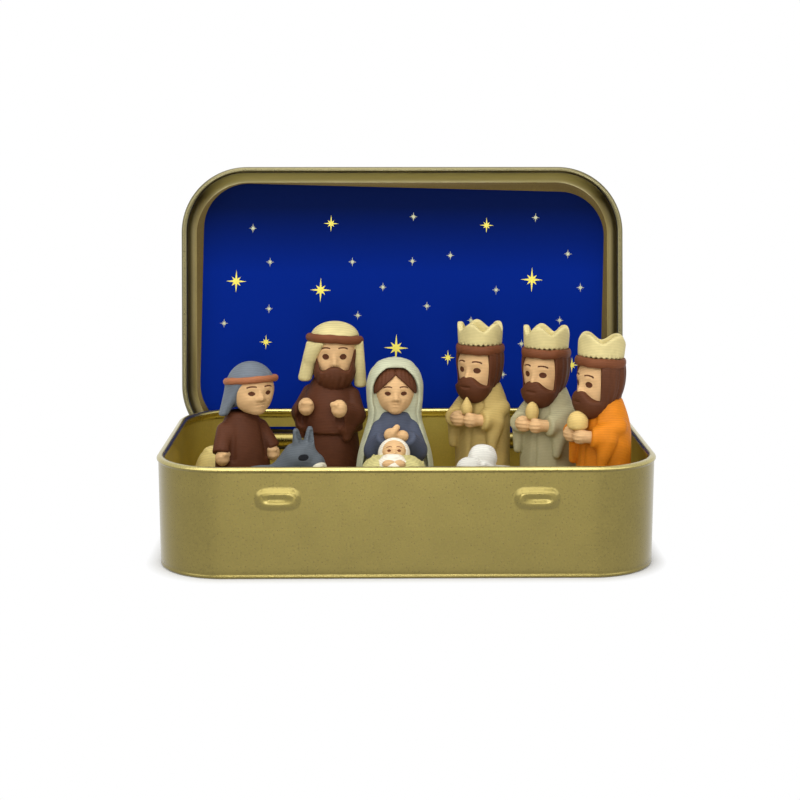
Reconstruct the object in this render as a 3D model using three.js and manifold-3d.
// Pocket nativity tin: a hinged sheet-metal tin with a starry card glued into its lid, and ten loose
// printed figures that stand in the tray. The lid is shown open, leaning back on its stop.
// Millimetres, +Z up. The front of the tin faces -Y, the hinge is at +Y, and the origin is the
// centre of the tray's underside.
import * as THREE from 'three';
import { mergeVertices } from 'three/addons/utils/BufferGeometryUtils.js';
import Module from 'manifold-3d';

// Tin
const SHEET = 0.35;
const TRAY_WIDTH = 95;
const TRAY_LENGTH = 60;
const TRAY_HEIGHT = 21.3;
const TRAY_CORNER = 13;
const EDGE_ROUNDING = 1.2;
const RIM_CURL = 1.1;
const RIM_PROUD = 0.2;
const LID_DEPTH = 6;
const LID_CLEARANCE = 0.3;
const LID_SEAT = 0.6;
const LID_BEAD = 1.1;
const LID_BEAD_PROUD = 0.65;
const LID_OPEN = THREE.MathUtils.degToRad(100);
const STOP_GAP = 0.25;

// Hinge: a bar across each window in the back wall, with a lid tongue curled round it
const HINGE_SPACING = 51;
const HINGE_INSET = 1.1;
const BAR_RADIUS = 0.8;
const BAR_CHEEK = 0.9;
const CURL_CLEARANCE = 0.3;
const CURL_WRAP = THREE.MathUtils.degToRad(250);
const TONGUE_WIDTH = 11;
const TONGUE_SIDE_CLEARANCE = 0.4;
const WINDOW_CLEARANCE = 0.9;
const SKIRT_OVERLAP = 0.06;
const CHEEK_MARGIN = 0.2;

// Pressed dimples on the front wall, which the closed lid snaps over
const DIMPLE_SPACING = 48;
const DIMPLE_WIDTH = 8.6;
const DIMPLE_HEIGHT = 4.4;
const DIMPLE_PROUD = 0.8;
const DIMPLE_BELOW_RIM = 6;

// Backdrop card, glued in a little crooked
const CARD_WIDTH = 90;
const CARD_LENGTH = 55;
const CARD_CORNER = 10;
const CARD_THICKNESS = 0.3;
const CARD_GLUE_GAP = 0.1;
const CARD_TURN = THREE.MathUtils.degToRad(1.5);

// Printed figures: the seam between two colours, and where each one stands and faces
const PRINT_SEAM = 0.3;
const PLACES = {
  shepherd: { x: -33, y: 0.5, turn: 28 },
  elder: { x: -14.7, y: 7.4, turn: 0 },
  mother: { x: -2.1, y: -2.6, turn: 2 },
  infant: { x: -2.5, y: -18, turn: 0 },
  king_beige: { x: 16.2, y: 9, turn: -36 },
  king_sage: { x: 29.2, y: 3, turn: -38 },
  king_orange: { x: 38.6, y: -9.5, turn: -62 },
  donkey: { x: -24.8, y: -17.5, turn: -14 },
  sheep: { x: 16.2, y: -18.5, turn: 12 },
  straw: { x: -39, y: 14, turn: 0 },
};
const SHEPHERD = {
  robe: 25, hem: 5.9, waist: 6, collar: 3.3, sleeve: 1.9, hand: 1.5,
  head: 4.6, headHeight: 10.2, headForward: 1.8,
};
const ELDER = {
  robe: 31, hem: 6, waist: 6.7, collar: 3.6, sleeve: 1.9, hand: 1.7, torsoTurn: -20,
  head: 4.4, headHeight: 12.6, headForward: 0.4,
};
const MOTHER = {
  dress: 26.2, hem: 6, waist: 5.9, collar: 3, sleeve: 1.8, hand: 1.3,
  head: 4.2, headHeight: 9.8, headForward: 0.5,
};
const KING = {
  robe: 29.6, hem: 6.2, waist: 6.4, collar: 3.8, sleeve: 2, hand: 1.4,
  head: 4.9, headHeight: 12, headForward: 1.2,
};
const SCARF = { cloth: 0.6, setBack: 0.7, rise: 0.5, lappet: 1.15 };
const HAIR = { thickness: 0.3, rise: 0.9 };
const VEIL = { top: 37, head: 5.8, flare: 8, opening: 4.9 };
const CROWN = { height: 4.3, wall: 1.1, points: 5 };
const BAND = { tube: 0.9, height: 2, bulge: 0.4, tilt: THREE.MathUtils.degToRad(-5) };
const GIFT = { radius: 1.5, height: 3 };
const MANGER = { height: 20, width: 6.3, length: 7.2, foot: 4.8 };
const INFANT = { head: 3.2, bodyLength: 5, bodyRadius: 2.8, hand: 1.1 };
const DONKEY = { back: 18.4, girth: 4.4, length: 15, leg: 1.6, ear: 0.95, earRoot: 3, earTip: 6.6 };
const SHEEP = { back: 18.6, girth: 4.6, length: 13, leg: 1.5, topknot: 1.7 };
const STRAW = { height: 17, radius: 5.2, waist: 4.6 };
const ROBE_DEPTH = 0.86;

// Values worked out from the sizes above
const SKIRT_OUT = RIM_PROUD + LID_CLEARANCE + SHEET;
const LID_OUT = SKIRT_OUT + LID_BEAD_PROUD;
const HINGE_Y = TRAY_LENGTH / 2 - HINGE_INSET;
const BEAD_REACH = HINGE_INSET + LID_OUT;
const HINGE_DROP = (HINGE_INSET + STOP_GAP - BEAD_REACH * Math.cos(LID_OPEN)) / Math.sin(LID_OPEN);
const HINGE_Z = TRAY_HEIGHT + LID_SEAT + SHEET - LID_DEPTH - HINGE_DROP;
const CURL_INNER = BAR_RADIUS + CURL_CLEARANCE;
const CURL_OUTER = CURL_INNER + SHEET;
const WINDOW_WIDTH = TONGUE_WIDTH + 2 * TONGUE_SIDE_CLEARANCE;
const CORNER_STEPS = 2;
const ROUND = 10;
const BALL_ROWS = 6;
const LIMB_SIDES = 6;

const wasm = await Module();
wasm.setup();

function finish(colour, roughness, metalness = 0) {
  return new THREE.MeshStandardMaterial({ color: colour, roughness, metalness });
}

const goldTin = finish(0x9f904f, 0.38, 0.85);
const nightCard = finish(0x0c267b, 0.5);
const brownPrint = finish(0x6b4029, 0.6);
const darkBrownPrint = finish(0x55311f, 0.6);
const bandPrint = finish(0x8a5a3a, 0.6);
const skinPrint = finish(0xe3c39b, 0.6);
const yellowPrint = finish(0xe4d592, 0.6);
const greyPrint = finish(0x6f757d, 0.6);
const veilPrint = finish(0xa9ad97, 0.6);
const slatePrint = finish(0x76809a, 0.6);
const whitePrint = finish(0xf0efe9, 0.6);
const sandPrint = finish(0xc9b36c, 0.6);
const beigePrint = finish(0xb79c5c, 0.6);
const sagePrint = finish(0xa9a98a, 0.6);
const orangePrint = finish(0xdc8424, 0.6);

// Closed three.js geometry to a solid that can be joined and cut
function solid(geometry, matrix = new THREE.Matrix4()) {
  const bare = geometry.clone().applyMatrix4(matrix);
  bare.deleteAttribute('normal');
  bare.deleteAttribute('uv');
  const merged = mergeVertices(bare, 1e-5);
  return new wasm.Manifold(new wasm.Mesh({
    numProp: 3,
    vertProperties: new Float32Array(merged.attributes.position.array),
    triVerts: new Uint32Array(merged.index.array),
  }));
}

function piece(name, body, material) {
  const { vertProperties, triVerts } = body.getMesh();
  const geometry = new THREE.BufferGeometry();
  geometry.setAttribute('position', new THREE.BufferAttribute(new Float32Array(vertProperties), 3));
  geometry.setIndex(new THREE.BufferAttribute(new Uint32Array(triVerts), 1));
  geometry.computeVertexNormals();
  const mesh = new THREE.Mesh(geometry, material);
  mesh.name = name;
  return mesh;
}

function moved(x, y, z) {
  return new THREE.Matrix4().makeTranslation(x, y, z);
}

// Block between two corners; `grow` thickens this and the shapes below it all round
function block([x0, y0, z0], [x1, y1, z1], grow = 0) {
  const size = [x1 - x0, y1 - y0, z1 - z0].map((side) => side + 2 * grow);
  const centre = moved((x0 + x1) / 2, (y0 + y1) / 2, (z0 + z1) / 2);
  return solid(new THREE.BoxGeometry(...size), centre);
}

function ball(radii, centre, grow = 0) {
  const unit = new THREE.SphereGeometry(1, ROUND, BALL_ROWS).rotateX(Math.PI / 2);
  const scale = new THREE.Vector3(...radii).addScalar(grow);
  return solid(unit, moved(...centre).scale(scale));
}

// Round-ended limb between two points
function limb(from, to, radius, grow = 0) {
  const start = new THREE.Vector3(...from);
  const along = new THREE.Vector3(...to).sub(start);
  const capsule = new THREE.CapsuleGeometry(radius + grow, along.length(), 2, LIMB_SIDES);
  const upright = new THREE.Vector3(0, 1, 0);
  const turn = new THREE.Quaternion().setFromUnitVectors(upright, along.clone().normalize());
  const centre = start.addScaledVector(along, 0.5);
  return solid(capsule, new THREE.Matrix4().compose(centre, turn, new THREE.Vector3(1, 1, 1)));
}

// Upright turned body from [radius, height] points, squeezed front to back
function turned(profile, depth = 1, grow = 0) {
  const last = profile.length - 1;
  const points = profile.map(([radius, height], index) => {
    const ends = (index >= last - 1 ? grow : 0) - (index <= 1 ? grow : 0);
    return new THREE.Vector2(radius > 0 ? radius + grow : 0, height + ends);
  });
  const lathe = new THREE.LatheGeometry(points, ROUND).rotateX(Math.PI / 2);
  return solid(lathe, new THREE.Matrix4().makeScale(1, depth, 1));
}

// Rolled ring of round section about the upright axis, leaning sideways by `tilt`
function roll(ringRadius, tubeRadius, centre, tilt, grow = 0) {
  const section = new THREE.Path();
  section.absarc(ringRadius, 0, tubeRadius + grow, 0, 2 * Math.PI);
  const points = section.getPoints(4);
  points[points.length - 1].copy(points[0]);
  const ring = new THREE.LatheGeometry(points, ROUND).rotateX(Math.PI / 2);
  const lean = new THREE.Matrix4().makeRotationY(tilt);
  return solid(ring, moved(...centre).multiply(lean));
}

function roundedOutline(outline, width, length, corner) {
  const x = width / 2 - corner;
  const y = length / 2 - corner;
  outline.absarc(x, y, corner, 0, Math.PI / 2);
  outline.absarc(-x, y, corner, Math.PI / 2, Math.PI);
  outline.absarc(-x, -y, corner, Math.PI, 1.5 * Math.PI);
  outline.absarc(x, -y, corner, 1.5 * Math.PI, 2 * Math.PI);
  outline.closePath();
  return outline;
}

// Rounded-rectangle block that stands `out` beyond the tray's plan, its lower edge rounded off
function tinBlock(out, z0, z1, rounding) {
  const plan = roundedOutline(
    new THREE.Shape(), TRAY_WIDTH + 2 * out, TRAY_LENGTH + 2 * out, TRAY_CORNER + out,
  );
  const trim = 2 * rounding;
  const drawn = new THREE.ExtrudeGeometry(plan, {
    depth: z1 - z0 - rounding + trim,
    bevelThickness: rounding,
    bevelSize: rounding,
    bevelOffset: -rounding,
    bevelSegments: 2,
    curveSegments: CORNER_STEPS,
  });
  const reach = TRAY_WIDTH + TRAY_LENGTH;
  const above = block([-reach, -reach, z1], [reach, reach, z1 + reach]);
  return solid(drawn, moved(0, 0, z0 + rounding)).subtract(above);
}

// Rounded edge roll running all round the tin, between two distances beyond the tray's plan
function edgeRoll(inner, outer, z0, z1) {
  const rounding = 0.36 * Math.min(outer - inner, z1 - z0);
  const outside = outer - rounding;
  const inside = inner + rounding;
  const plan = roundedOutline(
    new THREE.Shape(), TRAY_WIDTH + 2 * outside, TRAY_LENGTH + 2 * outside, TRAY_CORNER + outside,
  );
  plan.holes.push(roundedOutline(
    new THREE.Path(), TRAY_WIDTH + 2 * inside, TRAY_LENGTH + 2 * inside, TRAY_CORNER + inside,
  ));
  const ring = new THREE.ExtrudeGeometry(plan, {
    depth: z1 - z0 - 2 * rounding,
    bevelThickness: rounding,
    bevelSize: rounding,
    bevelSegments: 1,
    curveSegments: CORNER_STEPS,
  });
  return solid(ring, moved(0, 0, z0 + rounding));
}

const hingeCentres = [-HINGE_SPACING / 2, HINGE_SPACING / 2];

// Tray: drawn shell with a curled rim, dimples in front and two hinge windows with their bars behind
function trayBody() {
  const shell = tinBlock(0, 0, TRAY_HEIGHT - RIM_CURL / 2, EDGE_ROUNDING);
  const hollow = tinBlock(-SHEET, SHEET, TRAY_HEIGHT, EDGE_ROUNDING - SHEET);
  const rim = edgeRoll(RIM_PROUD - RIM_CURL, RIM_PROUD, TRAY_HEIGHT - RIM_CURL, TRAY_HEIGHT);
  let body = shell.subtract(hollow).add(rim);
  for (const side of [-1, 1]) {
    const centre = [side * DIMPLE_SPACING / 2, -TRAY_LENGTH / 2, TRAY_HEIGHT - DIMPLE_BELOW_RIM];
    const half = [DIMPLE_WIDTH / 2, DIMPLE_PROUD, DIMPLE_HEIGHT / 2];
    const inside = [centre[0], centre[1] + SHEET, centre[2]];
    const insideHalf = [half[0] - SHEET, DIMPLE_PROUD, half[2] - SHEET];
    const behind = block(
      [centre[0] - DIMPLE_WIDTH, centre[1] + SHEET / 2, centre[2] - DIMPLE_HEIGHT],
      [centre[0] + DIMPLE_WIDTH, centre[1] + 2 * DIMPLE_PROUD, centre[2] + DIMPLE_HEIGHT],
    );
    body = body.add(ball(half, centre).subtract(behind)).subtract(ball(insideHalf, inside));
  }
  const windowBottom = HINGE_Z - CURL_OUTER - WINDOW_CLEARANCE;
  const windowTop = HINGE_Z + HINGE_DROP + WINDOW_CLEARANCE;
  const wallInside = TRAY_LENGTH / 2 - 2 * SHEET;
  for (const centre of hingeCentres) {
    const edge = WINDOW_WIDTH / 2;
    body = body.subtract(block(
      [centre - edge, wallInside, windowBottom],
      [centre + edge, TRAY_LENGTH / 2 + SHEET, windowTop],
    ));
    const bar = new THREE.CylinderGeometry(BAR_RADIUS, BAR_RADIUS, WINDOW_WIDTH + BAR_CHEEK, 12);
    body = body.add(solid(bar.rotateZ(Math.PI / 2), moved(centre, HINGE_Y, HINGE_Z)));
    for (const side of [-1, 1]) {
      const near = centre + side * edge;
      const far = near + side * BAR_CHEEK;
      const cheek = BAR_RADIUS + CHEEK_MARGIN;
      body = body.add(block(
        [Math.min(near, far), HINGE_Y - cheek, HINGE_Z - cheek],
        [Math.max(near, far), TRAY_LENGTH / 2 - SHEET / 2, HINGE_Z + cheek],
      ));
    }
  }
  return body;
}

// Lid tongue: leaves the skirt's edge, passes into the window and curls under and round the bar
function tongue(centre) {
  const skirtInner = HINGE_INSET + SKIRT_OUT - SHEET + SKIRT_OVERLAP;
  const skirtOuter = HINGE_INSET + SKIRT_OUT - SKIRT_OVERLAP;
  const root = HINGE_DROP + LID_BEAD + SKIRT_OVERLAP;
  const outline = new THREE.Shape();
  outline.moveTo(skirtInner, root);
  outline.lineTo(skirtOuter, root);
  outline.lineTo(skirtOuter, HINGE_DROP + SHEET);
  outline.absarc(0, 0, CURL_OUTER, 0, -CURL_WRAP, true);
  outline.absarc(0, 0, CURL_INNER, -CURL_WRAP, 0, false);
  outline.lineTo(skirtInner, HINGE_DROP + SHEET);
  outline.closePath();
  const strip = new THREE.ExtrudeGeometry(outline, {
    depth: TONGUE_WIDTH, bevelEnabled: false, curveSegments: 9,
  });
  const across = new THREE.Matrix4().makeBasis(
    new THREE.Vector3(0, 1, 0), new THREE.Vector3(0, 0, 1), new THREE.Vector3(1, 0, 0),
  );
  return solid(strip, moved(centre - TONGUE_WIDTH / 2, 0, 0).multiply(across));
}

// Lid in the hinge's own frame, closed: pressed shell, outward bead round its edge, two tongues
function lidBody() {
  const skirtInner = SKIRT_OUT - SHEET;
  const upsideDown = new THREE.Matrix4().makeRotationX(Math.PI).elements;
  const shell = tinBlock(SKIRT_OUT, 0, LID_DEPTH - LID_BEAD / 2, EDGE_ROUNDING);
  const hollow = tinBlock(skirtInner, SHEET, LID_DEPTH, EDGE_ROUNDING - SHEET);
  const bead = edgeRoll(SKIRT_OUT - SHEET / 2, LID_OUT, LID_DEPTH - LID_BEAD, LID_DEPTH);
  let body = shell.subtract(hollow).add(bead).transform(upsideDown);
  body = body.translate([0, -HINGE_Y, HINGE_DROP + LID_DEPTH]);
  for (const centre of hingeCentres) {
    body = body.add(tongue(centre));
  }
  return body;
}

function backdropCard() {
  const plan = roundedOutline(new THREE.Shape(), CARD_WIDTH, CARD_LENGTH, CARD_CORNER);
  const sheet = new THREE.ExtrudeGeometry(plan, {
    depth: CARD_THICKNESS, bevelEnabled: false, curveSegments: 4,
  });
  const underPanel = HINGE_DROP + LID_DEPTH - SHEET - CARD_GLUE_GAP - CARD_THICKNESS;
  const turn = new THREE.Matrix4().makeRotationZ(CARD_TURN);
  return solid(sheet, moved(0, -HINGE_Y, underPanel).multiply(turn));
}

// Figures stand with their feet at z = 0 and face -Y. Each is printed in several colours: a colour
// keeps its own shape, and the ones listed after it are cut back from it by the seam.
function print(colours) {
  return colours.map(([name, shape, material], index) => {
    let body = shape(0);
    for (const [, earlier] of colours.slice(0, index)) {
      body = body.subtract(earlier(PRINT_SEAM));
    }
    return piece(name, body, material);
  });
}

function gown(size, top) {
  return turned([
    [0, 0], [size.hem, 0], [size.hem, 0.12 * top], [size.waist, 0.55 * top],
    [0.96 * size.waist, 0.72 * top], [0.8 * size.waist, 0.88 * top],
    [size.collar, top], [0, top],
  ], ROBE_DEPTH);
}

function mirrored(side, [x, y, z]) {
  return [side * x, y, z];
}

function sleeves(body, radius, ...joints) {
  let dressed = body;
  for (const side of [-1, 1]) {
    for (let index = 1; index < joints.length; index += 1) {
      const from = mirrored(side, joints[index - 1]);
      dressed = dressed.add(limb(from, mirrored(side, joints[index]), radius));
    }
  }
  return dressed;
}

// Skin plate in the front of a head, between two heights
function facePlate(skull, head, low, high, grow) {
  return skull.intersect(block([-0.82 * head, -2 * head, low], [0.82 * head, -0.25 * head, high], grow));
}

function shepherd() {
  const { robe, waist, sleeve, hand, head, headHeight, headForward } = SHEPHERD;
  const centre = [0, -headForward, robe + 0.5 * headHeight];
  const brow = centre[2] + 0.14 * headHeight;
  const scarf = head + SCARF.cloth;
  const scarfCentre = [0, SCARF.setBack - headForward, centre[2] + SCARF.rise];
  const bandCentre = [0, scarfCentre[1], brow + BAND.tube];
  const drapeCentre = [0, scarfCentre[1] + head, robe + 0.32 * headHeight];
  const skull = (grow) => ball([head, head, 0.5 * headHeight], centre, grow);
  const shoulder = [0.66 * waist, 0, 0.85 * robe];
  const cuff = [0.9 * waist, -0.4 * waist, 0.78 * robe];
  const fist = [0.92 * waist, -0.48 * waist, cuff[2] - sleeve - 0.4 * hand];
  const fistBall = (side) => (grow) => ball([hand, hand, hand], mirrored(side, fist), grow);
  return print([
    ['shepherd_hand_left', fistBall(1), skinPrint],
    ['shepherd_hand_right', fistBall(-1), skinPrint],
    ['shepherd_headband', (grow) => roll(scarf, BAND.tube, bandCentre, BAND.tilt, grow), bandPrint],
    ['shepherd_face', (grow) => facePlate(skull(grow), head, robe, brow, grow), skinPrint],
    ['shepherd_headscarf', (grow) => ball([scarf, scarf, 0.54 * headHeight], scarfCentre, grow)
      .add(ball([0.8 * head, 0.35 * head, 0.46 * headHeight], drapeCentre, grow)), greyPrint],
    ['shepherd_robe', () => sleeves(gown(SHEPHERD, robe), sleeve, shoulder, cuff), brownPrint],
  ]);
}

function elder() {
  const { robe, waist, sleeve, hand, torsoTurn, head, headHeight, headForward } = ELDER;
  const centre = [0, -headForward, robe + 0.44 * headHeight];
  const brow = centre[2] + 0.2 * headHeight;
  const lip = centre[2] - 0.14 * headHeight;
  const scarf = head + SCARF.cloth;
  const scarfCentre = [0, SCARF.setBack - headForward, centre[2] + SCARF.rise];
  const bandCentre = [0, scarfCentre[1], brow + BAND.tube];
  const beardSize = [head, 0.95 * head, 0.34 * headHeight];
  const beardCentre = [0, -0.4 * head, lip - 0.1 * headHeight];
  const skull = (grow) => ball([head, head, 0.5 * headHeight], centre, grow);
  const shoulder = [0.7 * waist, 0, 0.9 * robe];
  const elbow = [0.88 * waist, -0.2 * waist, 0.78 * robe];
  const wrist = [0.58 * waist, -0.72 * waist, 0.82 * robe];
  const fist = [0.5 * waist, -0.98 * waist, 0.845 * robe];
  const twisted = (body) => body.rotate([0, 0, torsoTurn]);
  const fistBall = (side) => (grow) => twisted(ball([hand, hand, hand], mirrored(side, fist), grow));
  const hem = 0.67 * robe;
  const tunic = turned([
    [0, hem], [0.96 * waist, hem], [waist, 0.78 * robe], [0.94 * waist, 0.88 * robe],
    [0.72 * waist, 0.97 * robe], [ELDER.collar, 1.02 * robe], [0, 1.02 * robe],
  ], ROBE_DEPTH);
  const skirt = turned([
    [0, 0], [ELDER.hem, 0], [ELDER.hem, 0.1 * robe],
    [0.9 * waist, hem], [0.8 * waist, robe], [0, robe],
  ], ROBE_DEPTH);
  const lappet = (side, grow) => limb(
    [side * scarf, -0.3 * head, brow], [1.1 * side * scarf, -0.35 * head, 1.02 * robe],
    SCARF.lappet, grow,
  );
  return print([
    ['elder_hand_left', fistBall(1), skinPrint],
    ['elder_hand_right', fistBall(-1), skinPrint],
    ['elder_headband', (grow) => roll(scarf, BAND.tube, bandCentre, 0, grow), bandPrint],
    ['elder_face', (grow) => facePlate(skull(grow), head, lip, brow, grow), skinPrint],
    ['elder_beard', (grow) => ball(beardSize, beardCentre, grow), darkBrownPrint],
    ['elder_headscarf', (grow) => ball([scarf, 1.04 * scarf, 0.52 * headHeight], scarfCentre, grow)
      .add(lappet(-1, grow)).add(lappet(1, grow)), yellowPrint],
    ['elder_robe', () => twisted(sleeves(skirt.add(tunic), sleeve, shoulder, elbow, wrist)), brownPrint],
  ]);
}

// The veil hangs from the crown of the head to the floor and is open in front
function veil() {
  const { top, head, flare, opening } = VEIL;
  const cloak = turned([
    [0, 0], [flare, 0], [flare, 0.14 * top], [0.94 * flare, 0.4 * top], [0.8 * flare, 0.62 * top],
    [head, 0.78 * top], [0.94 * head, 0.88 * top], [0.68 * head, 0.96 * top], [0.3 * head, top], [0, top],
  ], 0.95).translate([0, 0.6, 0]);
  const arch = new THREE.Shape();
  const spring = 0.8 * top;
  arch.moveTo(-0.86 * flare, -1);
  arch.lineTo(-opening, spring);
  arch.absellipse(0, spring, opening, 0.15 * top, Math.PI, 0, true);
  arch.lineTo(0.86 * flare, -1);
  arch.closePath();
  const cut = new THREE.ExtrudeGeometry(arch, { depth: 3 * flare, bevelEnabled: false, curveSegments: 5 });
  const forward = new THREE.Matrix4().makeRotationX(Math.PI / 2);
  return cloak.subtract(solid(cut, moved(0, -0.2 * head, 0).multiply(forward)));
}

function mother() {
  const { dress, waist, sleeve, hand, head, headHeight, headForward } = MOTHER;
  const centre = [0, -headForward, dress + 0.42 * headHeight];
  const hairSize = [head + HAIR.thickness, head + HAIR.thickness, 0.46 * headHeight];
  const hairCentre = [0, 0.4 * centre[1], centre[2] + HAIR.rise];
  const shoulder = [0.62 * waist, centre[1], 0.86 * dress];
  const elbow = [0.8 * waist, -0.4 * waist, 0.72 * dress];
  const wrist = [0.42 * waist, -0.82 * waist, 0.83 * dress];
  const palm = [0.2 * waist, -1.02 * waist, 0.87 * dress];
  const parting = (grow) => ball(
    [0.72 * head, head, 0.5 * headHeight], [0, -0.98 * head, centre[2] - 0.14 * headHeight], -grow,
  );
  return print([
    ['mother_hands', (grow) => limb(mirrored(-1, palm), palm, hand, grow), skinPrint],
    ['mother_hair', (grow) => ball(hairSize, hairCentre, grow).subtract(parting(grow)), darkBrownPrint],
    ['mother_face', (grow) => ball([0.94 * head, head, 0.48 * headHeight], centre, grow)
      .intersect(block([-2 * head, -2 * head, 0], [2 * head, -0.1 * head, 2 * dress], grow)), skinPrint],
    ['mother_dress', (grow) => sleeves(
      turned([
        [0, 0], [MOTHER.hem, 0], [waist, 0.5 * dress], [0.9 * waist, 0.75 * dress],
        [0.66 * waist, 0.93 * dress], [MOTHER.collar, dress], [0, dress],
      ], ROBE_DEPTH, grow), sleeve + grow, shoulder, elbow, wrist), slatePrint],
    ['mother_veil', veil, veilPrint],
  ]);
}

function infant() {
  const { head, bodyLength, bodyRadius, hand } = INFANT;
  const { height, width, length, foot } = MANGER;
  const pillow = [0, 0.42 * length, height + 0.2 * head];
  const bundle = [0, -0.24 * length, height];
  return print([
    ['infant_face', (grow) => ball([0.74 * head, 0.68 * head, 0.72 * head],
      [0, pillow[1] - 0.5 * head, pillow[2] + 0.3 * head], grow), skinPrint],
    ['infant_hands', (grow) => ball([1.4 * hand, hand, hand],
      [0.5 * hand, bundle[1] - 0.8 * bodyLength, height + 0.5 * bodyRadius], grow), skinPrint],
    ['infant_swaddle', (grow) => ball([head, 0.94 * head, head], pillow, grow)
      .add(ball([bodyRadius, bodyLength, bodyRadius], bundle, grow)), whitePrint],
    ['infant_manger', () => turned([
      [0, 0], [foot, 0], [foot, 0.3 * height], [0.9 * width, 0.72 * height], [width, 0.9 * height],
      [0.86 * width, 0.98 * height], [0.5 * width, height], [0, height],
    ], length / width), yellowPrint],
  ]);
}

// Open crown with rounded points: a cup with a scallop cut between each pair of points
function crown(radius, floor, grow) {
  const { height, wall, points } = CROWN;
  if (grow > 0) {
    return turned([[0, floor], [radius, floor], [radius, floor + height], [0, floor + height]], 1, grow);
  }
  let body = turned([
    [0, floor], [radius, floor], [radius, floor + height],
    [radius - wall, floor + height], [radius - wall, floor + wall], [0, floor + wall],
  ]);
  const scallop = 0.42 * height;
  for (let index = 0; index < points; index += 1) {
    const notch = new THREE.CylinderGeometry(scallop, scallop, 2 * radius, 10).translate(0, -radius, 0);
    const around = new THREE.Matrix4().makeRotationZ((2 * Math.PI * index) / points);
    body = body.subtract(solid(notch, around.setPosition(0, 0, floor + height)));
  }
  return body;
}

function king(name, clothPrint) {
  const { robe, waist, sleeve, hand, head, headHeight, headForward } = KING;
  const chin = robe - 0.28 * headHeight;
  const brow = chin + 0.86 * headHeight;
  const lip = chin + 0.56 * headHeight;
  const skull = (grow) => turned([
    [0, chin], [0.42 * head, chin], [0.82 * head, chin + 0.17 * headHeight],
    [head, chin + 0.42 * headHeight], [0.96 * head, brow], [0, brow],
  ], 1.04, grow).translate([0, -headForward, 0]);
  const palm = [0.38 * waist, -0.88 * waist, 0.785 * robe];
  const giftFloor = palm[2] + hand + PRINT_SEAM;
  const gift = (grow) => turned([
    [0, 0], [0.6 * GIFT.radius, 0], [GIFT.radius, 0.3 * GIFT.height],
    [0.9 * GIFT.radius, 0.55 * GIFT.height], [0.4 * GIFT.radius, 0.85 * GIFT.height], [0, GIFT.height],
  ], 1, grow).translate([0, palm[1], giftFloor]);
  const bandTop = brow + BAND.height;
  const band = (grow) => turned([
    [0, brow], [head - BAND.bulge, brow], [head + BAND.bulge, brow + 0.3 * BAND.height],
    [head + BAND.bulge, brow + 0.7 * BAND.height], [head - BAND.bulge, bandTop], [0, bandTop],
  ], 1, grow).translate([0, -headForward, 0]);
  const diadem = (grow) => crown(head, bandTop, grow).translate([0, -headForward, 0]);
  const shoulder = [0.74 * waist, 0, 0.84 * robe];
  const cuff = [0.64 * waist, -0.62 * waist, palm[2]];
  const drape = [0.74 * waist, -0.5 * waist, 0.58 * robe];
  return print([
    [`${name}_hands`, (grow) => limb(mirrored(-1, palm), palm, hand, grow), skinPrint],
    [`${name}_gift`, gift, sandPrint],
    [`${name}_headband`, band, bandPrint],
    [`${name}_crown`, diadem, yellowPrint],
    [`${name}_face`, (grow) => facePlate(skull(grow), head + headForward, lip, brow, grow), skinPrint],
    [`${name}_beard`, skull, darkBrownPrint],
    [`${name}_robe`, () => sleeves(gown(KING, robe), sleeve, shoulder, cuff, drape), clothPrint],
  ]);
}

// Four straight legs under an animal's body, standing flat on the floor
function legs(spread, girth, radius, height) {
  let set;
  for (const x of [-spread, spread]) {
    for (const y of [-0.56 * girth, 0.56 * girth]) {
      const post = new THREE.CylinderGeometry(radius, radius, height, 10).rotateX(Math.PI / 2);
      const leg = solid(post, moved(x, y, height / 2));
      set = set ? set.add(leg) : leg;
    }
  }
  return set;
}

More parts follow.
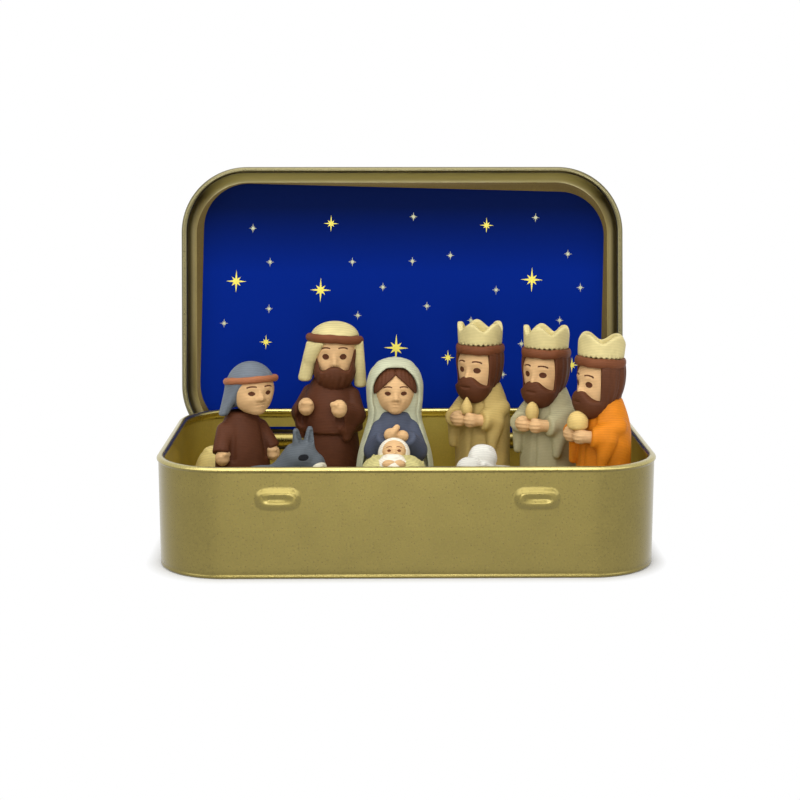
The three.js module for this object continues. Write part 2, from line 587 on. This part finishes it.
function donkey() {
  const { back, girth, length, leg, ear, earRoot, earTip } = DONKEY;
  const belly = back - 1.1 * girth;
  const poll = [0.3 * length, 0, back + 0.2 * girth];
  const cheek = [0.4 * length, 0, back + 0.16 * girth];
  const nose = [0.54 * length, 0, back - 0.16 * girth];
  const tailTop = [-0.62 * length, 0, belly + 0.5 * girth];
  const tailTip = [-0.7 * length, 0, 0.4 * belly];
  const coat = () => {
    let body = ball([0.5 * length, girth, 1.1 * girth], [-0.16 * length, 0, belly])
      .add(limb([0.12 * length, 0, belly + 0.3 * girth], poll, 0.68 * girth))
      .add(ball([0.27 * length, 0.72 * girth, 0.74 * girth], cheek))
      .add(legs(0.26 * length, girth, leg, belly).translate([-0.16 * length, 0, 0]));
    for (const side of [-1, 1]) {
      const root = [poll[0], side * ear, back + earRoot];
      body = body.add(limb(root, [poll[0], 1.6 * side * ear, back + earTip], ear));
    }
    return body.add(limb(tailTop, tailTip, 0.5 * ear));
  };
  return print([
    ['donkey_muzzle', (grow) => ball([0.13 * length, 0.5 * girth, 0.42 * girth], nose, grow), whitePrint],
    ['donkey_coat', coat, greyPrint],
  ]);
}

function sheep() {
  const { back, girth, length, leg, topknot } = SHEEP;
  const belly = back - 1.3 * girth;
  const fleece = ball([0.5 * length, girth, 1.3 * girth], [0.12 * length, 0, belly])
    .add(ball([0.24 * length, 0.7 * girth, 0.8 * girth], [-0.1 * length, 0, back - 0.13 * girth]))
    .add(ball([0.22 * length, 0.58 * girth, 0.58 * girth], [-0.24 * length, 0, back + topknot]))
    .add(ball([0.2 * length, 0.5 * girth, 0.5 * girth], [-0.42 * length, -0.1 * girth, back]))
    .add(legs(0.24 * length, girth, leg, belly).translate([0.12 * length, 0, 0]));
  return print([['sheep_fleece', () => fleece, whitePrint]]);
}

function straw() {
  const { height, radius, waist } = STRAW;
  return print([['straw_bundle', () => turned([
    [0, 0], [radius, 0], [0.98 * radius, 0.25 * height], [waist, 0.5 * height], [radius, 0.72 * height],
    [0.9 * radius, 0.88 * height], [0.5 * radius, 0.98 * height], [0, height],
  ]), sandPrint]]);
}

const nativityTin = new THREE.Group();
nativityTin.add(piece('tray', trayBody(), goldTin));

const lid = new THREE.Group();
lid.position.set(0, HINGE_Y, HINGE_Z);
lid.rotation.x = -LID_OPEN;
lid.add(piece('lid', lidBody(), goldTin));
lid.add(piece('backdrop_card', backdropCard(), nightCard));
nativityTin.add(lid);

const figures = {
  shepherd: shepherd(),
  elder: elder(),
  mother: mother(),
  infant: infant(),
  king_beige: king('king_beige', beigePrint),
  king_sage: king('king_sage', sagePrint),
  king_orange: king('king_orange', orangePrint),
  donkey: donkey(),
  sheep: sheep(),
  straw: straw(),
};
for (const [name, pieces] of Object.entries(figures)) {
  const figure = new THREE.Group().add(...pieces);
  figure.position.set(PLACES[name].x, PLACES[name].y, SHEET);
  figure.rotation.z = THREE.MathUtils.degToRad(PLACES[name].turn);
  nativityTin.add(figure);
}

export default nativityTin;
